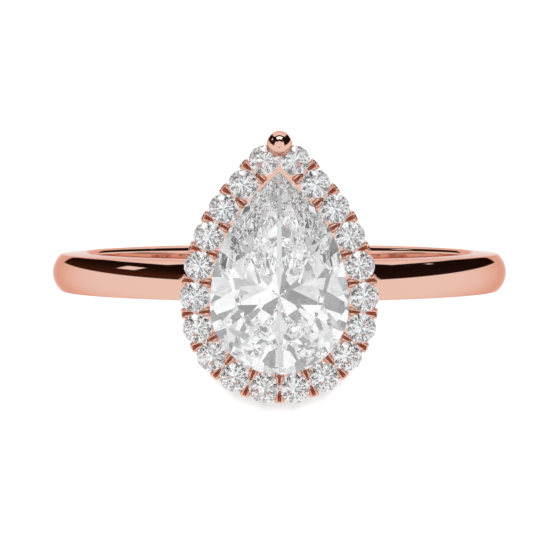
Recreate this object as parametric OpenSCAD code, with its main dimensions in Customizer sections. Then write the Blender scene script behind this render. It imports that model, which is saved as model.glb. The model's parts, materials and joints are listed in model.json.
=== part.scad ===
// Pear halo engagement ring: a plain round shank with a pegged head that carries a pear-cut
// centre stone inside a halo of round brilliants. Millimetres. The origin is the centre of the
// finger hole, Y runs along the finger, and Z points from the finger to the centre stone.

/* [Shank] */
// Inside diameter of the shank, 17.3 for US size 7
finger_d = 17.3; // [16:0.1:19]
// Thickness of the shank from the finger to the crest of its dome
shank_t = 1.65; // [1.6:0.05:1.9]
// Width of the shank along the finger
shank_w = 1.8; // [1.7:0.02:2.1]
// Radius of the dome across the outside of the shank
dome_r = 1.12; // [1.1:0.02:1.6]
// Rounding of the two inside edges that makes the shank comfortable
comfort_r = 0.25; // [0.15:0.05:0.35]

/* [Centre stone] */
// Width of the pear across its round end
stone_w = 5.8; // [5.6:0.1:6]
// Radius of the long sides of the pear
side_r = 6.6; // [6.5:0.05:6.8]
// Angle between each straight flank and the length of the pear, at its point
point_a = 46; // [44:1:48]
// Blunting radius of the point
point_r = 0.1; // [0.05:0.01:0.2]
// Height of the crown above the girdle
crown_h = 0.78; // [0.6:0.02:1]
// Width of the table as a part of the width of the stone
table_part = 0.62; // [0.56:0.01:0.66]
// Thickness of the girdle where the facets meet it
girdle_t = 0.18; // [0.16:0.01:0.2]
// Depth of the pavilion below the girdle
pavilion_h = 2.35; // [2.2:0.05:2.4]
// How far the culet lies from the centre of the round end, towards the point
culet_y = 0.35; // [0:0.05:0.6]
// How far the centre of the round end lies towards -Y from the middle of the finger
head_shift = 0.81; // [0.6:0.01:1]

/* [Halo] */
// Diameter of each round halo stone
halo_d = 1.28; // [1.2:0.01:1.28]
// Distance from the girdle of the centre stone to the middle of the halo
halo_line = 0.64; // [0.64:0.01:0.66]
// Half of the distance between the first stones on each side of the point
halo_first = 0.645; // [0.645:0.005:0.66]
// How far those first stones stand out from the middle line of the halo, under the tip claw
tip_out = 0.12; // [0:0.01:0.12]
// Width of the halo from the girdle of the centre stone outwards
halo_w = 1.32; // [1.32:0.01:1.4]
// Width of the plate under the halo, which the stones and the outer prongs overhang
plate_w = 1.09; // [1.06:0.01:1.15]
// Thickness of the halo plate
plate_t = 0.75; // [0.6:0.05:0.9]

/* [Prongs] */
// Radius of the post of each halo prong
post_r = 0.2; // [0.16:0.01:0.21]
// Radius of the rounded head of each halo prong
bead_r = 0.22; // [0.2:0.01:0.24]
// Distance of the outer prongs from the middle of the halo
outer_off = 0.43; // [0.42:0.01:0.45]
// Distance of the inner prongs, which also hold the centre stone, from the middle of the halo
inner_off = 0.5; // [0.48:0.01:0.5]
// Radius of the large claw over the point of the halo
claw_r = 0.56; // [0.5:0.01:0.6]

/* [Gallery] */
// Height of the centre stone's girdle above the middle of the finger hole
girdle_z = 13.25; // [13.2:0.05:13.4]
// Outside of the base rail, measured inwards from the girdle outline
rail_in = 0.45; // [0.4:0.05:0.6]
// Width and height of the wire that the base rail is made from
rail_t = 0.45; // [0.4:0.05:0.5]
// Radius of the gallery wires
wire_r = 0.24; // [0.2:0.01:0.28]
// Radius of the peg that pins the head to the shank
peg_r = 0.55; // [0.5:0.05:0.6]

/* [Hidden] */
$fn = 96;
side_stones = 10;
halo_stones = 2 * side_stones;
bead_pairs = 2 * side_stones - 1;
wires = 7;

bore_r = finger_d / 2;
shank_r = bore_r + shank_t;
round_r = stone_w / 2;
side_c = side_r - round_r;

plate_top = girdle_z - 0.2;
plate_z = plate_top - plate_t;
halo_girdle_z = plate_top + 0.1;
halo_girdle_t = 0.04;
halo_crown_h = 0.17;
halo_pavilion_h = 0.5;
fit = 0.005;

bridge_top = shank_r + 0.45;
bridge_t = 0.95;
bridge_w = 1.3;
keel_r = 2.9;
keel_up = 1.6;
rail_top = bridge_top + rail_t;
peg_z = bore_r + 0.65;
collet_w = 0.45;
collet_gap = 0.05;
room = 0.02;
drill_r = 0.25;
scallop_r = 0.46;
scallop_depth = 0.15;
outer_h = 0.2;
inner_h = 0.35;
claw_post_r = 0.45;
claw_inset = 0.14;
reach = 12;
arc_steps = 16;

function two(i) = str(i < 10 ? "0" : "", i);
stone_names = [for (i = [1:halo_stones]) str("halo_stone_", two(i))];
bead_names = [for (i = [1:bead_pairs]) str("prong_pair_", two(i))];
wire_names = [for (i = [1:wires]) str("gallery_wire_", i)];

// ---- The pear outline: a round end, two side arcs and two straight flanks to a blunt point.
// Every outline in the head is this one moved outwards by o.

function polar(r, a) = [r * cos(a), r * sin(a)];
function mirror_x(p) = [-p[0], p[1]];
function tip_r(o) = max(point_r + o, 0.05);
function flank_end(o) = [(side_r + o) * cos(point_a) - side_c, (side_r + o) * sin(point_a)];
function tip_c(o) = flank_end(o)[1] + flank_end(o)[0] / tan(point_a) - tip_r(o) / sin(point_a);
function tip_y(o) = tip_c(o) + tip_r(o);

function half_pear(o) = concat(
    [for (i = [0:arc_steps]) polar(round_r + o, -90 + 90 * i / arc_steps)],
    [for (i = [1:arc_steps]) polar(side_r + o, point_a * i / arc_steps) - [side_c, 0]],
    [for (i = [0:4]) [0, tip_c(o)] + polar(tip_r(o), point_a + (90 - point_a) * i / 4)]);

function pear(o) = let (half = half_pear(o), n = len(half))
    concat(half, [for (i = [n - 2:-1:1]) mirror_x(half[i])]);

module pear_solid(o, z0, z1) {
    translate([0, -head_shift, z0]) linear_extrude(z1 - z0) polygon(pear(o));
}

module pear_ring(outer, inner, z0, z1) {
    difference() {
        pear_solid(outer, z0, z1);
        pear_solid(inner, z0 - 1, z1 + 1);
    }
}

// ---- Places and outward angles along the middle line of the halo, on the right side, by the
// distance s along it from the middle of the round end.

round_len = (round_r + halo_line) * PI / 2;
side_len = (side_r + halo_line) * point_a * PI / 180;
flank_len = (flank_end(halo_line)[0] + tip_out * cos(point_a) - halo_first) / sin(point_a);
pitch = (round_len + side_len + flank_len) / (side_stones - 0.5);

function deg(x) = x * 180 / PI;
function turn(a, side) = side > 0 ? a : 180 - a;
function line_angle(s) = s < round_len ? -90 + deg(s / (round_r + halo_line))
    : min(deg((s - round_len) / (side_r + halo_line)), point_a);
function line_at(s) = let (a = line_angle(s), t = s - round_len - side_len)
    s < round_len ? polar(round_r + halo_line, a)
    : t < 0 ? polar(side_r + halo_line, a) - [side_c, 0]
    : flank_end(halo_line) + t * [-sin(point_a), cos(point_a)];

// Halo stones 1 to 10 go up the right side from the round end, and 11 to 20 up the left.
function stone_side(i) = i <= side_stones ? 1 : -1;
function stone_s(i) = (i - (i <= side_stones ? 0.5 : side_stones + 0.5)) * pitch;
function stone_turn(i) = turn(line_angle(stone_s(i)), stone_side(i));
function stone_out(i) = i % side_stones == 0 ? tip_out : 0;
function stone_at(i) = let (s = stone_s(i), p = line_at(s) + polar(stone_out(i), line_angle(s)))
    [stone_side(i) * p[0], p[1]];

// Prong pair 1 stands at the middle of the round end, 2 to 10 on the right, 11 to 19 on the left.
function pair_side(i) = i <= side_stones ? 1 : -1;
function pair_s(i) = (i - (i <= side_stones ? 1 : side_stones)) * pitch;
function prong_at(i, off) = let (s = pair_s(i), p = line_at(s) + polar(off, line_angle(s)))
    [pair_side(i) * p[0], p[1]];
function stones_beside(i) = i == 1 ? [1, side_stones + 1] : i <= side_stones ? [i - 1, i] : [i, i + 1];

// ---- Shank

// Cross-section on the +X side: flat against the finger, inside edges rounded, outside domed.
module shank_section() {
    half = shank_w / 2;
    low = [for (i = [0:6]) [bore_r + comfort_r, comfort_r - half] + polar(comfort_r, 180 + 15 * i)];
    high = [for (i = [6:-1:0]) [low[i][0], -low[i][1]]];
    intersection() {
        translate([shank_r - dome_r, 0]) circle(dome_r);
        polygon(concat(low, [[shank_r + 1, -half], [shank_r + 1, half]], high));
    }
}

module shank_blank() {
    rotate([90, 0, 0]) rotate_extrude() shank_section();
}

module peg_space() {
    translate([0, 0, peg_z]) cylinder(r = peg_r, h = shank_t);
}

module shank() {
    color("lightsalmon") difference() {
        shank_blank();
        peg_space();
    }
}

// ---- Head: peg, saddle, base rail, gallery wires, collet and halo plate

module head_peg() {
    color("salmon") translate([0, 0, peg_z]) cylinder(r = peg_r, h = bridge_top - peg_z);
}

// The saddle sits across the shank and gives the base rail something to stand on. Its ends sweep
// up like a keel.
module saddle_bridge() {
    color("darksalmon") difference() {
        intersection() {
            pear_solid(-rail_in, bridge_top - bridge_t, bridge_top);
            translate([0, 0, bridge_top + keel_up]) rotate([90, 0, 0])
                cylinder(r = keel_r, h = bridge_w, center = true);
        }
        shank_blank();
        peg_space();
    }
}

module base_rail() {
    color("lightsalmon") pear_ring(-rail_in, -rail_in - rail_t, bridge_top, rail_top);
}

// Where wire i meets an outline moved outwards by o: the point first, then pairs round the pear.
wire_angles = [90, 24, -22, -64];
function wire_place(a, o) = a == 90 ? [0, tip_y(o)]
    : a < 0 ? polar(round_r + o, a) : polar(side_r + o, a) - [side_c, 0];
function wire_side(i) = i % 2 == 0 ? 1 : -1;
function wire_end(i, o, z) = let (p = wire_place(wire_angles[floor(i / 2)], o))
    [wire_side(i) * p[0], p[1] - head_shift, z];

// A round rod of radius r from p to q.
module rod(p, q, r) {
    d = q - p;
    translate(p) rotate([0, acos(d[2] / norm(d)), atan2(d[1], d[0])]) cylinder(r = r, h = norm(d));
}

module gallery_wire(i) {
    low = wire_end(i, -rail_in - rail_t / 2, rail_top);
    high = wire_end(i, 0.35, plate_z);
    lean = high - low;
    color("salmon") intersection() {
        rod(low - 0.5 * lean, high + 0.5 * lean, wire_r);
        translate([-reach, -reach, rail_top]) cube([2 * reach, 2 * reach, plate_z - rail_top]);
    }
}

// Room for the pavilion of the centre stone, a little larger than the stone.
module pavilion_room() {
    hull() {
        pear_solid(room, girdle_z - room, girdle_z + 1);
        translate([0, culet_y - head_shift, girdle_z - room - pavilion_h])
            cylinder(r = room, h = room, $fn = 16);
    }
}

module centre_collet() {
    color("darksalmon") difference() {
        pear_ring(-collet_gap, -collet_gap - collet_w, plate_z, girdle_z);
        pavilion_room();
    }
}

module place_stone(i) {
    p = stone_at(i);
    translate([p[0], p[1] - head_shift, halo_girdle_z]) children();
}

// The space of one round stone with its girdle at z 0, a little larger than the stone.
module stone_room() {
    r = halo_d / 2 + fit;
    translate([0, 0, -halo_pavilion_h - fit]) cylinder(r1 = 0, r2 = r, h = halo_pavilion_h + fit);
    cylinder(r = r, h = halo_girdle_t);
    translate([0, 0, halo_girdle_t]) cylinder(r1 = r, r2 = r * 0.57, h = halo_crown_h + fit);
}

// A seat cone and a through hole under each stone, with the outer wall scalloped below it.
module seat(i) {
    depth = halo_pavilion_h + fit;
    place_stone(i) {
        translate([0, 0, -depth]) cylinder(r1 = 0, r2 = halo_d / 2 + fit, h = depth);
        translate([0, 0, plate_z - halo_girdle_z - 1]) cylinder(r = drill_r, h = plate_t + 1);
        rotate(stone_turn(i)) translate([plate_w - halo_line - scallop_depth, 0, plate_top - halo_girdle_z])
            rotate([0, 90, 0]) cylinder(r = scallop_r, h = 1);
    }
}

module claw_post() {
    translate([0, tip_y(halo_w) - claw_inset - head_shift, plate_z])
        cylinder(r = claw_post_r, h = girdle_z - plate_z);
}

// The outer prong of a pair runs down the edge of the plate.
module outer_post(i) {
    p = prong_at(i, outer_off);
    translate([p[0], p[1] - head_shift, plate_z]) cylinder(r = post_r, h = plate_t);
}

module halo_plate() {
    color("lightsalmon") difference() {
        pear_ring(plate_w, -collet_gap, plate_z, plate_top);
        for (i = [1:halo_stones]) seat(i);
        for (i = [1:bead_pairs]) outer_post(i);
        claw_post();
    }
}

// ---- Prongs

module tip_claw() {
    color("salmon") difference() {
        union() {
            claw_post();
            translate([0, tip_y(halo_w) - claw_inset - head_shift, girdle_z]) sphere(r = claw_r);
        }
        for (i = [side_stones, halo_stones]) place_stone(i) stone_room();
    }
}

module prong(i, off, h) {
    p = prong_at(i, off);
    translate([p[0], p[1] - head_shift, plate_top]) {
        cylinder(r = post_r, h = h);
        translate([0, 0, h]) sphere(r = bead_r);
    }
}

// An outer and an inner prong between two halo stones, cut to fit over them and the centre stone.
module prong_pair(i) {
    color("salmon") difference() {
        union() {
            outer_post(i);
            prong(i, outer_off, outer_h);
            prong(i, -inner_off, inner_h);
        }
        for (k = stones_beside(i)) place_stone(k) stone_room();
        centre_stone();
    }
}

// ---- Stones

// The main facet after and before number k, of 8.
function next(k) = (k + 1) % 8;
function before(k) = (k + 7) % 8;

// A round brilliant with 57 facets, its girdle at z 0. Its corners are rings of 8 or 16: the table,
// the stars' outer corners, the girdle's two edges and the corners of the lower halves.
module round_brilliant(d, girdle, crown, pavilion, table = 0.57, star = 0.78, lower = 0.24) {
    r = d / 2;
    function ring(n, part, turn, z) = [for (k = [0:n - 1]) [each polar(r * part, turn + 360 / n * k), z]];
    star_z = girdle + crown * (1 - star * cos(22.5)) / (1 - table);
    lower_z = -pavilion * (1 - lower * cos(22.5));
    points = concat(ring(8, table, 0, girdle + crown), ring(8, star, 22.5, star_z), ring(16, 1, 0, girdle),
                    ring(16, 1, 0, 0), ring(8, lower, 22.5, lower_z), [[0, 0, -pavilion]]);

    // Where each ring starts among the points
    star_at = 8;
    top_at = 16;
    low_at = 32;
    half_at = 48;
    culet = 56;
    function wrap(i) = i % 16;
    table_facet = [for (k = [7:-1:0]) k];
    stars = [for (k = [0:7]) [k, next(k), star_at + k]];
    kites = [for (k = [0:7]) [k, star_at + k, top_at + 2 * k, star_at + before(k)]];
    upper_halves = [for (h = [0:15]) [star_at + floor(h / 2), top_at + wrap(h + 1), top_at + h]];
    girdle_facets = [for (h = [0:15]) let (j = wrap(h + 1))
        [top_at + h, top_at + j, low_at + j, low_at + h]];
    lower_halves = [for (h = [0:15]) [half_at + floor(h / 2), low_at + h, low_at + wrap(h + 1)]];
    mains = [for (k = [0:7]) [culet, half_at + before(k), low_at + 2 * k, half_at + k]];
    crown_facets = concat([table_facet], stars, kites, upper_halves);
    polyhedron(points, concat(crown_facets, girdle_facets, lower_halves, mains));
}

module halo_stone(i) {
    color("azure") place_stone(i) rotate(stone_turn(i))
        round_brilliant(halo_d, halo_girdle_t, halo_crown_h, halo_pavilion_h);
}

// The centre stone is a pear brilliant with 57 facets. Its girdle has 64 corners, counted from the
// middle of the round end: a main facet meets every eighth one, and two halves lie between mains.
stops = [-90, -67.5, -45, -22.5, 0, 16, 32, point_a];
corners = 64;

function side_point(a) = a > 0 ? polar(side_r, a) - [side_c, 0] : polar(round_r, a);
function right_corner(i) = let (h = floor(i / 4), f = i / 4 - h)
    h < 7 ? side_point(stops[h] + f * (stops[h + 1] - stops[h]))
    : h == 7 ? (1 - f) * flank_end(0) + f * [0, tip_y(0)]
    : [0, tip_y(0)];
function corner(i) = i <= corners / 2 ? right_corner(i) : mirror_x(right_corner(corners - i));
function main_a(k) = k <= 3 ? stops[2 * k] : k == 4 ? 90 : 180 - stops[2 * (8 - k)];

// The culet's axis, and a place p moved in towards it to the part f of its distance.
axis = [0, culet_y];
function drawn_in(p, f) = axis + f * (p - axis);

// Where two lines meet, each given by its normal and its distance from the origin.
function meet(n1, d1, n2, d2) =
    [d1 * n2[1] - d2 * n1[1], n1[0] * d2 - n2[0] * d1] / (n1[0] * n2[1] - n1[1] * n2[0]);

// Corner between main facets k and k + 1, where both have come in by the part f of the way from
// the girdle to the culet's axis.
function between(k, f) = let (
        n1 = polar(1, main_a(k)),
        n2 = polar(1, main_a(next(k))),
        d1 = n1 * drawn_in(corner(8 * k), 1 - f),
        d2 = n2 * drawn_in(corner(8 * next(k)), 1 - f))
    meet(n1, d1, n2, d2);

// Height at the place p of the plane through the points a, b and c.
function plane_z(p, a, b, c) = let (n = cross(b - a, c - a))
    a[2] - (n[0] * (p[0] - a[0]) + n[1] * (p[1] - a[1])) / n[2];

module centre_stone() {
    star = 0.6;
    lower = 0.78;
    table = [for (k = [0:7]) [each drawn_in(corner(8 * k), table_part), girdle_t + crown_h]];
    upper = [for (k = [0:7]) [each between(k, star * (1 - table_part)), girdle_t + star * crown_h]];
    under = [for (k = [0:7]) [each between(k, lower), -lower * pavilion_h]];
    function at(i, z) = [each corner(i % corners), z];
    function on_half(i, apex, z) = let (h = 4 * floor(i / 4))
        at(i, plane_z(corner(i), apex[floor(i / 8)], at(h, z), at(h + 4, z)));
    top = [for (i = [0:corners - 1]) on_half(i, upper, girdle_t)];
    bottom = [for (i = [0:corners - 1]) on_half(i, under, 0)];

    // Where each list starts among the points, after the 8 corners of the table
    star_at = 8;
    top_at = star_at + 8;
    low_at = top_at + corners;
    half_at = low_at + corners;
    culet = half_at + 8;
    function ring(i) = i % corners;
    table_facet = [for (k = [7:-1:0]) k];
    stars = [for (k = [0:7]) [k, next(k), star_at + k]];
    kites = [for (k = [0:7]) [k, star_at + k, top_at + 8 * k, star_at + before(k)]];
    upper_halves = [for (h = [0:15]) [star_at + floor(h / 2), for (i = [4:-1:0]) top_at + ring(4 * h + i)]];
    girdle = [for (i = [0:corners - 1]) let (j = ring(i + 1))
        [top_at + i, top_at + j, low_at + j, low_at + i]];
    lower_halves = [for (h = [0:15]) [half_at + floor(h / 2), for (i = [0:4]) low_at + ring(4 * h + i)]];
    mains = [for (k = [0:7]) [culet, half_at + before(k), low_at + 8 * k, half_at + k]];
    color("white") translate([0, -head_shift, girdle_z]) polyhedron(
        concat(table, upper, top, bottom, under, [[0, culet_y, -pavilion_h]]),
        concat([table_facet], stars, kites, upper_halves, girdle, lower_halves, mains));
}

shank();
head_peg();
saddle_bridge();
base_rail();
for (i = [1:wires]) gallery_wire(i);
halo_plate();
centre_collet();
tip_claw();
centre_stone();
for (i = [1:bead_pairs]) prong_pair(i);
for (i = [1:halo_stones]) halo_stone(i);
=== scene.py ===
import json
import math

import bmesh
import bpy
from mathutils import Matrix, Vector

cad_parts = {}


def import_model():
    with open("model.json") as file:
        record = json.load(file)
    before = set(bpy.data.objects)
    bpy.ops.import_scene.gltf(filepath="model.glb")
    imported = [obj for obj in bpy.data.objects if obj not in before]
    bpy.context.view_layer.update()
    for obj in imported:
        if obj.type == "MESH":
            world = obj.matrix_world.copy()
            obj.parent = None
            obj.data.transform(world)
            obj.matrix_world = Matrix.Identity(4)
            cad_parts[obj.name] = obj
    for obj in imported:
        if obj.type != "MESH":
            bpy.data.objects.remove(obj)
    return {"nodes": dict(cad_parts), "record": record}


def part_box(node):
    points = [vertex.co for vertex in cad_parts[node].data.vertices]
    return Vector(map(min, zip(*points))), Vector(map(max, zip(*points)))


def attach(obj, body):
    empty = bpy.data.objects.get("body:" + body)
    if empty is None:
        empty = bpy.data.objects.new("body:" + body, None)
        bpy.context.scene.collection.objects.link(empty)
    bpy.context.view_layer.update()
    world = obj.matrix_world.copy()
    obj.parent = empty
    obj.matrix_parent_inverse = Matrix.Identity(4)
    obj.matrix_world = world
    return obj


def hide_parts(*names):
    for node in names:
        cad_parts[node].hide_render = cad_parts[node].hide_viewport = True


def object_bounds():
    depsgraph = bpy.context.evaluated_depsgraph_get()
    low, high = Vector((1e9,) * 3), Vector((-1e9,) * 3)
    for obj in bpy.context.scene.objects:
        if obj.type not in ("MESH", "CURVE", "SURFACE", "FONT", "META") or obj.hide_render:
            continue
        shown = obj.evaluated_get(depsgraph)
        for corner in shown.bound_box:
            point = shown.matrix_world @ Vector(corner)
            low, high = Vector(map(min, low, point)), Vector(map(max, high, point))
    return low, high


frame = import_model()
cad_lo, cad_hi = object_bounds()
nodes = frame["nodes"]
MM = 0.001

# ---- Sizes that the pieces share, in metres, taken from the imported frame

bore = next(m for m in frame["record"]["mounts"] if m["name"] == "finger_bore")
BORE_R = bore["dims"]["r_mm"] * MM
shank_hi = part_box("shank")[1]
SHANK_R = shank_hi.x
SHANK_HALF = shank_hi.y
stone_lo, stone_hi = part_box("centre_stone")
plate_lo, plate_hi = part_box("halo_plate")
HALO_STONES = sorted(n for n in nodes if n.startswith("halo_stone_"))
SIDE_STONES = len(HALO_STONES) // 2
PAIRS = sorted(n for n in nodes if n.startswith("prong_pair_"))
WIRES = sorted(n for n in nodes if n.startswith("gallery_wire_"))


# ---- Meshes

def new_piece(name, points, faces, material, replaced):
    """A closed piece on the root body that stands for the CAD nodes in replaced."""
    mesh = bpy.data.meshes.new(name)
    mesh.from_pydata([tuple(p) for p in points], [], faces)
    work = bmesh.new()
    work.from_mesh(mesh)
    bmesh.ops.recalc_face_normals(work, faces=work.faces)
    work.to_mesh(mesh)
    work.free()
    mesh.shade_smooth()
    mesh.materials.append(material)
    piece = bpy.data.objects.new(name, mesh)
    bpy.context.scene.collection.objects.link(piece)
    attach(piece, "root")
    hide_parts(*replaced)
    piece.visible_transmission = False
    return piece


def loft(rings, closed=False):
    """Points and faces of a surface through rings of points, closed into a loop or capped at both
    ends."""
    size = len(rings[0])
    count = len(rings)
    points = [p for ring in rings for p in ring]
    faces = []
    for i in range(count if closed else count - 1):
        a, b = i * size, (i + 1) % count * size
        faces += [(a + j, a + (j + 1) % size, b + (j + 1) % size, b + j) for j in range(size)]
    if not closed:
        faces += [tuple(range(size)), tuple((count - 1) * size + j for j in range(size))]
    return points, faces


def arc(cx, cy, r, a0, a1, steps):
    """Points of an arc round (cx, cy), with angles in degrees."""
    angles = [math.radians(a0 + (a1 - a0) * i / steps) for i in range(steps + 1)]
    return [(cx + r * math.cos(a), cy + r * math.sin(a)) for a in angles]


# ---- Shader helpers

def node_in(tree, kind, **settings):
    node = tree.nodes.new("ShaderNode" + kind)
    for key, value in settings.items():
        setattr(node, key, value)
    return node


def math_node(tree, operation, a, b=None):
    node = node_in(tree, "Math", operation=operation)
    for socket, value in zip(node.inputs, (a, b)):
        if isinstance(value, (int, float)):
            socket.default_value = value
        elif value is not None:
            tree.links.new(value, socket)
    return node.outputs[0]


def scaled(tree, value, factor, plus):
    node = math_node(tree, "MULTIPLY_ADD", value, factor).node
    node.inputs[2].default_value = plus
    return node.outputs[0]


def product_of(tree, first, *others):
    for other in others:
        first = math_node(tree, "MULTIPLY", first, other)
    return first


def opposite(tree, mask):
    return math_node(tree, "SUBTRACT", 1.0, mask)


def either(tree, first, *others):
    for other in others:
        first = math_node(tree, "MAXIMUM", first, other)
    return first


def wave(tree, value, count):
    return math_node(tree, "SINE", math_node(tree, "MULTIPLY", value, count))


def smooth_step(tree, value, low, high):
    """0 below low and 1 above high, smooth in between."""
    node = node_in(tree, "MapRange", interpolation_type="SMOOTHSTEP", clamp=True)
    tree.links.new(value, node.inputs["Value"])
    node.inputs["From Min"].default_value = low
    node.inputs["From Max"].default_value = high
    return node.outputs["Result"]


def mix_rgb(tree, factor, a, b):
    node = node_in(tree, "Mix", data_type="RGBA")
    sockets = (node.inputs[0], node.inputs[6], node.inputs[7])
    for socket, value in zip(sockets, (factor, a, b)):
        if isinstance(value, bpy.types.NodeSocket):
            tree.links.new(value, socket)
        else:
            socket.default_value = value
    return node.outputs[2]


# ---- Materials

def noise(tree, scale, detail, stretch=(1, 1, 1)):
    """Noise over the object's own coordinates, with the scale in blobs per millimetre."""
    place = node_in(tree, "TexCoord")
    mapping = node_in(tree, "Mapping")
    mapping.inputs["Scale"].default_value = [s * scale / MM for s in stretch]
    texture = node_in(tree, "TexNoise", noise_dimensions="3D")
    texture.inputs["Scale"].default_value = 1.0
    texture.inputs["Detail"].default_value = detail
    tree.links.new(place.outputs["Object"], mapping.inputs["Vector"])
    tree.links.new(mapping.outputs["Vector"], texture.inputs["Vector"])
    return texture.outputs["Fac"]


def gold(name, roughness, spread, lines, depth, worn_edge=0.0, tone=1.0):
    """Polished 14 carat rose gold. Spread is how much the roughness varies; lines stretches the
    polishing marks, and depth is their height in millimetres. worn_edge is the radius that
    polishing leaves on its edges, in millimetres; tone below 1 darkens the colour as painted shade."""
    material = bpy.data.materials.new(name)
    material.use_nodes = True
    tree = material.node_tree
    shader = tree.nodes["Principled BSDF"]
    shader.inputs["Metallic"].default_value = 1.0
    shader.inputs["Specular Tint"].default_value = (0.82, 0.5, 0.42, 1)
    cast = noise(tree, 0.35, 2.0)
    # tone below 1 darkens the base colour: painted shade
    base = mix_rgb(tree, cast, (0.842 * tone, 0.520 * tone ** 1.5, 0.418 * tone ** 1.7, 1),
                   (0.822 * tone, 0.532 * tone ** 1.5, 0.436 * tone ** 1.7, 1))
    tree.links.new(base, shader.inputs["Base Color"])
    marks = noise(tree, 2.5, 4.0, lines)
    haze = scaled(tree, marks, spread, roughness - spread / 2)
    tree.links.new(haze, shader.inputs["Roughness"])
    bump = node_in(tree, "Bump")
    bump.inputs["Strength"].default_value = 0.4
    bump.inputs["Distance"].default_value = depth * MM
    tree.links.new(marks, bump.inputs["Height"])
    if worn_edge:
        edge = node_in(tree, "Bevel", samples=8)
        edge.inputs["Radius"].default_value = worn_edge * MM
        tree.links.new(edge.outputs["Normal"], bump.inputs["Normal"])
    tree.links.new(bump.outputs["Normal"], shader.inputs["Normal"])
    return material


def diamond(name, tint, cloud):
    """Colourless diamond with faint growth clouds: tint is their tone, and cloud is how many of
    them there are in a millimetre."""
    material = bpy.data.materials.new(name)
    material.use_nodes = True
    tree = material.node_tree
    shader = tree.nodes["Principled BSDF"]
    shader.inputs["Transmission Weight"].default_value = 1.0
    shader.inputs["IOR"].default_value = 2.42
    shader.inputs["Roughness"].default_value = 0.0
    clouds = smooth_step(tree, noise(tree, cloud, 2.0), 0.35, 0.75)
    tree.links.new(mix_rgb(tree, clouds, (1, 1, 1, 1), tint), shader.inputs["Base Color"])
    return material


SHANK_GOLD = gold("rose_gold_shank", 0.055, 0.03, (0.15, 1, 0.15), 0.0002)
HEAD_GOLD = gold("rose_gold_head", 0.075, 0.05, (1, 1, 0.4), 0.0004, 0.05)
PRONG_GOLD = gold("rose_gold_prongs", 0.07, 0.06, (1, 1, 1), 0.0006)
# Gold for the bottoms of the prong grooves: rougher, and its colour darkened to half as painted shade
GROOVE_PAINTED_SHADE_GOLD = gold("rose_gold_painted_groove_shade", 0.2, 0.1, (1, 1, 1), 0.0006, tone=0.5)
CENTRE_DIAMOND = diamond("diamond_centre", (0.975, 0.985, 0.99, 1), 0.3)
HALO_DIAMOND = diamond("diamond_halo", (0.9, 0.955, 1, 1), 0.8)


def dress(name, material):
    """Give a CAD node its material. The diamonds don't see the metal behind them."""
    mesh = nodes[name].data
    mesh.materials.clear()
    mesh.materials.append(material)
    if material not in (CENTRE_DIAMOND, HALO_DIAMOND):
        nodes[name].visible_transmission = False


# ---- Shank: a full hoop with a domed outside, softened shoulders and a comfort-fit inside

def shank_section():
    """The cross-section as (radius, y) points."""
    dome = 1.12 * MM
    shoulder = 0.14 * MM
    comfort = 0.25 * MM
    half = SHANK_HALF
    mid = SHANK_R - dome
    # The sides lean in towards the dome by a few degrees, and the shoulder arc touches both
    lean = 5
    side = half - 0.06 * MM
    open_a = math.degrees(math.asin((side - shoulder) / (dome - shoulder)))
    sx = mid + (dome - shoulder) * math.cos(math.radians(open_a))
    upper = arc(sx, side - shoulder, shoulder, open_a, 90 - lean, 6)[1:]
    upper += arc(BORE_R + comfort, half - comfort, comfort, 90 - lean, 180, 10)
    lower = [(r, -y) for r, y in reversed(upper)]
    return arc(mid, 0, dome, -open_a, open_a, 32) + upper + lower


def full_turn(steps):
    """Angles evenly round a circle."""
    return [2 * math.pi * i / steps for i in range(steps)]


def shank_band():
    section = shank_section()
    rings = [[(r * math.sin(a), y, r * math.cos(a)) for r, y in section] for a in full_turn(288)]
    points, faces = loft(rings, closed=True)
    band = new_piece("shank_band", points, faces, SHANK_GOLD, ["shank"])
    # The floor shows the shadow of the head alone
    band.visible_shadow = False


# ---- Prongs

# Sizes of the prongs are in millimetres. u points outwards from the middle line of the halo, and
# v runs along that line.

def signed_power(x, power):
    """A power that keeps the sign of x. Under 1, it squares off a circle's sine and cosine."""
    return math.copysign(abs(x) ** power, x)


def share_out(i, steps, first):
    """How far ring i of a dome lies from its middle to its edge, with the rings closer together
    towards the edge. first is the share of a step at which ring 0 lies."""
    return math.sin(math.pi / 2 * (i + first) / (steps + first))


def dome(outline, top, skirt):
    """Rings from near the middle of a bead out to its outline and down to its foot at the height
    skirt. outline(a, k) is the point (u, v) at an angle and a share k of the way out, and
    top(u, v, fall) is the height there, where fall goes from 1 in the middle to 0 at the edge."""
    steps = 9
    flatness, roundness = 2.4, 2.2
    rings = []
    for i in range(steps + 1):
        k = share_out(i, steps, 0.25)
        fall = (1 - k ** flatness) ** (1 / roundness) if k < 1 else 0.0
        places = [outline(a, k) for a in full_turn(28)]
        rings.append([(u, v, top(u, v, fall)) for u, v in places])
    rings.append([(u, v, skirt) for u, v, z in rings[-1]])
    return rings


def inner_bead(a, k):
    """Outline of an inner prong: a fishtail that widens towards the centre stone (-u)."""
    middle, long, narrow, wide = -0.37, 0.27, 0.1, 0.26
    notch, notch_width = 0.05, 0.09
    u = middle + k * long * signed_power(math.cos(a), 0.8)
    share = (middle + long - u) / (2 * long)
    v = k * (narrow + (wide - narrow) * max(share, 0) ** 1.3) * signed_power(math.sin(a), 0.8)
    if math.cos(a) < 0:
        u += notch * k * math.exp(-(v / notch_width) ** 2)
    return u, v


def outer_bead(wide):
    """Outline of an outer prong: a wedge that widens to a flat end at the rim of the halo (+u)."""
    middle, long, narrow = 0.39, 0.25, 0.07

    def outline(a, k):
        u = middle + k * long * signed_power(math.cos(a), 0.5)
        share = (u - middle + long) / (2 * long)
        v = k * (narrow + (wide - narrow) * max(share, 0) ** 1.3) * signed_power(math.sin(a), 0.6)
        return u, v

    return outline


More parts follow.
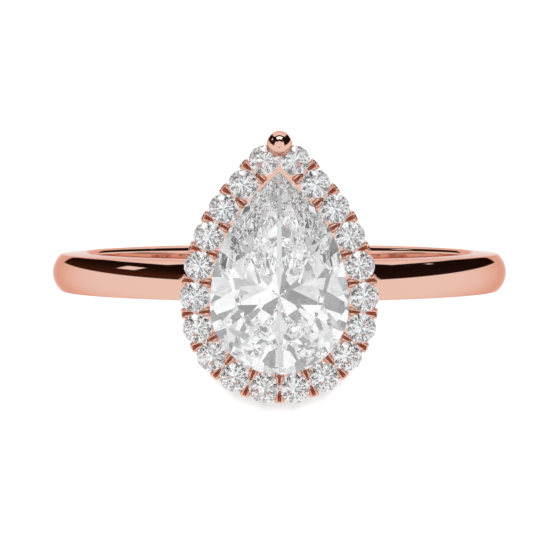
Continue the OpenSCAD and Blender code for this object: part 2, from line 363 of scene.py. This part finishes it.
def bead_top(shoulder, rise, groove, width, tilt):
    """Height of a bead that rises from its shoulder, with a groove along its middle. tilt lowers
    it away from the middle line of the halo."""
    def top(u, v, fall):
        cut = groove * math.exp(-(v / width) ** 2) * fall
        return shoulder + rise * fall - cut - tilt * abs(u)
    return top


def stones_beside(number):
    """The two halo stones that a prong pair stands between."""
    if number == 1:
        pair = 1, SIDE_STONES + 1
    elif number <= SIDE_STONES:
        pair = number - 1, number
    else:
        pair = number, number + 1
    return [f"halo_stone_{i:02d}" for i in pair]


def prong_pair(name, number):
    """Both prongs of a pair, placed from the two halo stones beside it."""
    a, b = [(lo + hi) / 2 for lo, hi in map(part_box, stones_beside(number))]
    girdle = plate_hi.z / MM
    along = Vector((b.x - a.x, b.y - a.y, 0)).normalized()
    out = Vector((along.y, -along.x, 0))
    middle = (a + b) / 2
    heart = (stone_lo + stone_hi) / 2
    if out.dot(middle - heart) < 0:
        out.negate()
    # The outer prongs are broader on the straight flanks than round the pear's end
    on_flank = out.y > 0.3
    rim = 0.32 if on_flank else 0.27
    points, faces = [], []
    for outline, top, foot in (
        (inner_bead, bead_top(girdle + 0.12, 0.30, 0.18, 0.065, 0.0), girdle - 0.3),
        (outer_bead(rim), bead_top(girdle + 0.10, 0.27, 0.25, 0.08, 0.08), plate_lo.z / MM),
    ):
        def place(u, v, z):
            return middle.xy.to_3d() + out * (u * MM) + along * (v * MM) + Vector((0, 0, z * MM))

        start = len(points)
        more, sides = loft([[place(*p) for p in ring] for ring in dome(outline, top, foot)])
        points += more
        faces += [tuple(start + i for i in face) for face in sides]
    pair = new_piece(f"prongs_{number:02d}", points, faces, PRONG_GOLD, [name])
    pair.data.materials.append(GROOVE_PAINTED_SHADE_GOLD)
    # The faces along the bottom of each groove get the groove gold: rougher than the polished top,
    # and darker as painted shade
    groove, upward = 0.038 * MM, 0.2
    for face in pair.data.polygons:
        if face.normal.z > upward and abs((face.center - middle).dot(along)) < groove:
            face.material_index = 1


def tip_claw():
    """The rounded claw that folds over the point of the halo."""
    lo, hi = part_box("tip_claw")
    cx, cy = (lo.x + hi.x) / 2 / MM, (lo.y + hi.y) / 2 / MM
    top_z = hi.z / MM
    wide, back, front = 0.545, 0.64, 0.42
    rise = 0.62
    edge = top_z - rise
    crest = cy - 0.11

    def section(a, k):
        """A point of the claw seen from above: round at the back, a blunt V towards the stone."""
        c, s = math.cos(a), math.sin(a)
        if s > 0:
            return cx + wide * k * c, crest + back * k * s
        pinch = 1 - 0.1 * math.sin(2 * abs(math.atan2(s, abs(c)))) * k
        return cx + wide * k * c * pinch, crest + front * k * s

    rings = []
    turns = full_turn(64)
    steps = 15
    for i in range(steps + 1):
        k = share_out(i, steps, 0.2)
        fall = math.sqrt(max(0.0, 1 - k * k))
        rings.append([(*section(a, k), edge + rise * fall) for a in turns])
    # The underside tucks in to the post, which runs down through the plate
    tuck = ((0.985, edge - 0.06), (0.93, edge - 0.13), (0.84, edge - 0.2), (0.78, edge - 0.3))
    for k, z in (*tuck, (0.76, plate_lo.z / MM)):
        rings.append([(*section(a, k), z) for a in turns])
    points, faces = loft([[Vector(p) * MM for p in ring] for ring in rings])
    new_piece("point_claw", points, faces, PRONG_GOLD, ["tip_claw"])


# ---- Build the object

shank_band()
for number, name in enumerate(PAIRS, 1):
    prong_pair(name, number)
tip_claw()
for name in ["head_peg", "saddle_bridge", "base_rail", "halo_plate", "centre_collet", *WIRES]:
    dress(name, HEAD_GOLD)
dress("centre_stone", CENTRE_DIAMOND)
for name in HALO_STONES:
    dress(name, HALO_DIAMOND)


# ---- Studio: a white floor, a soft overhead light and a white tent with dark flags

def directions(tree):
    """Of a ray: its x, its azimuth and zenith angle in degrees, with the azimuth 0 at both sides
    and 90 towards the point of the pear, and its full azimuth and zenith angle in radians."""
    place = node_in(tree, "TexCoord")
    split = node_in(tree, "SeparateXYZ")
    tree.links.new(place.outputs["Generated"], split.inputs[0])
    x, y, z = split.outputs
    side = math_node(tree, "ABSOLUTE", x)
    azimuth = math_node(tree, "DEGREES", math_node(tree, "ARCTAN2", y, side))
    fall = math_node(tree, "ARCCOSINE", z)
    around = math_node(tree, "ARCTAN2", y, x)
    return x, azimuth, math_node(tree, "DEGREES", fall), around, fall


def window(tree, angle, low, high, soft):
    """1 between two angles and 0 beyond them, with soft edges. None leaves that side open."""
    edges = []
    if low is not None:
        edges.append(smooth_step(tree, angle, low, low + soft))
    if high is not None:
        edges.append(opposite(tree, smooth_step(tree, angle, high - soft, high)))
    return product_of(tree, *edges)


def patch(tree, azimuth, zenith, across, down, soft=2.0):
    """1 on a patch of the tent, given by its range of azimuth and its range of zenith angle."""
    return product_of(tree, window(tree, azimuth, *across, soft), window(tree, zenith, *down, soft))


def metal_tent(tree, x, azimuth, zenith):
    """What polished metal sees: white all round, with dark flags beside and beyond the ring, a
    bright softbox in the far flag and a slim gap in each side flag."""
    # The lower edge of the side flags rises towards the floor, and their upper edge leans back
    low = math_node(tree, "SUBTRACT", azimuth, scaled(tree, zenith, 0.2, -7))
    lean = math_node(tree, "MINIMUM", scaled(tree, zenith, 0.2, -23), 0.0)
    high = math_node(tree, "ADD", azimuth, lean)
    below_high = window(tree, high, None, 51, 2)
    flag_side = product_of(tree, patch(tree, low, zenith, (0, None), (50, 150)), below_high)
    flag_far = patch(tree, azimuth, zenith, (45, 93), (37, 91.5))
    flag_near = patch(tree, azimuth, zenith, (None, -62), (14, 24))

    softbox = patch(tree, azimuth, zenith, (64, 93), (55, 77), 1.5)
    left = smooth_step(tree, math_node(tree, "MULTIPLY", x, -1.0), 0.0, 0.01)
    right = smooth_step(tree, x, 0.0, 0.01)
    gap_left = product_of(tree, left, patch(tree, azimuth, zenith, (29.5, 41), (86, 100), 1.5))
    gap_right = product_of(tree, right, patch(tree, azimuth, zenith, (44, 48), (102, 107), 1.5))

    flags = either(tree, flag_side, flag_far, flag_near)
    dark = product_of(tree, flags, opposite(tree, either(tree, softbox, gap_left, gap_right)))
    brown, brown_black = (0.062, 0.021, 0.009, 1), (0.018, 0.008, 0.005, 1)
    black = (0.012, 0.006, 0.004, 1)
    shade = mix_rgb(tree, smooth_step(tree, x, -0.3, 0.3), brown, brown_black)
    shade = mix_rgb(tree, smooth_step(tree, azimuth, 12, 45), shade, black)
    white = mix_rgb(tree, softbox, (1.0, 1.0, 1.0, 1), (2.6, 2.6, 2.6, 1))
    return mix_rgb(tree, dark, white, shade)


def gem_tent(tree, around, fall):
    """What the diamonds see: white with grey panels, and three broad pale grey sheets over them."""
    white, grey, pale_grey = (1.02, 1.02, 1.02, 1), (0.2, 0.2, 0.205, 1), (0.72, 0.72, 0.73, 1)
    checks = product_of(tree, wave(tree, around, 4.0), wave(tree, fall, 5.0))
    panels = mix_rgb(tree, smooth_step(tree, checks, -0.12, 0.12), white, grey)
    return mix_rgb(tree, smooth_step(tree, wave(tree, around, 3.0), 0.3, 1.0), panels, pale_grey)


def world():
    """The tent differs by the kind of ray: the floor gets an even fill, and the camera sees white."""
    tent = bpy.data.worlds.new("studio_tent")
    tent.use_nodes = True
    tree = tent.node_tree
    background = tree.nodes["Background"]
    x, azimuth, zenith, around, fall = directions(tree)
    rays = node_in(tree, "LightPath")
    fill, backdrop = (0.9, 0.9, 0.9, 1), (1, 1, 1, 1)
    colour = mix_rgb(tree, rays.outputs["Is Glossy Ray"], fill, metal_tent(tree, x, azimuth, zenith))
    colour = mix_rgb(tree, rays.outputs["Is Transmission Ray"], colour, gem_tent(tree, around, fall))
    colour = mix_rgb(tree, rays.outputs["Is Camera Ray"], colour, backdrop)
    tree.links.new(colour, background.inputs["Color"])
    tent.cycles.sampling_method = "NONE"
    bpy.context.scene.world = tent


def floor():
    """Plain white paper under the ring."""
    half = 1.0
    z = cad_lo.z
    mesh = bpy.data.meshes.new("floor")
    corners = [(-half, -half, z), (half, -half, z), (half, half, z), (-half, half, z)]
    mesh.from_pydata(corners, [], [(0, 1, 2, 3)])
    material = bpy.data.materials.new("floor_paper")
    material.use_nodes = True
    shader = material.node_tree.nodes["Principled BSDF"]
    shader.inputs["Base Color"].default_value = (0.92, 0.92, 0.92, 1)
    shader.inputs["Roughness"].default_value = 1.0
    shader.inputs["Specular IOR Level"].default_value = 0.0
    mesh.materials.append(material)
    plane = bpy.data.objects.new("floor", mesh)
    bpy.context.scene.collection.objects.link(plane)
    plane.visible_glossy = False
    plane.visible_transmission = False


def soft_light():
    """A small light high above the far side, for the soft shadow under the head."""
    data = bpy.data.lights.new("overhead_softbox", "AREA")
    data.shape = "DISK"
    data.size = 0.04
    data.energy = 9.5
    light = bpy.data.objects.new("overhead_softbox", data)
    light.location = (0, 0.143, 1.5)
    aim = Vector((0, 0, cad_lo.z)) - light.location
    light.rotation_euler = aim.to_track_quat("-Z", "Y").to_euler()
    light.visible_glossy = False
    light.visible_transmission = False
    bpy.context.scene.collection.objects.link(light)


def camera():
    """A long lens that looks almost straight down on the stones, a little from the far side."""
    lean = math.radians(2.69)
    distance = 0.16
    aim = Vector((0.000025, -0.000385, 0))
    data = bpy.data.cameras.new("camera")
    data.sensor_width = 36
    data.lens = 225.9
    data.clip_start, data.clip_end = 0.01, 10
    cam = bpy.data.objects.new("camera", data)
    cam.location = aim + distance * Vector((0, math.sin(lean), math.cos(lean)))
    cam.rotation_euler = (-lean, 0, 0)
    bpy.context.scene.collection.objects.link(cam)
    bpy.context.scene.camera = cam


world()
floor()
soft_light()
camera()
scene = bpy.context.scene
scene.view_settings.view_transform = "Standard"
# Light crosses a diamond many times before it leaves
scene.cycles.max_bounces = 100
scene.cycles.glossy_bounces = 90
scene.cycles.transmission_bounces = 90
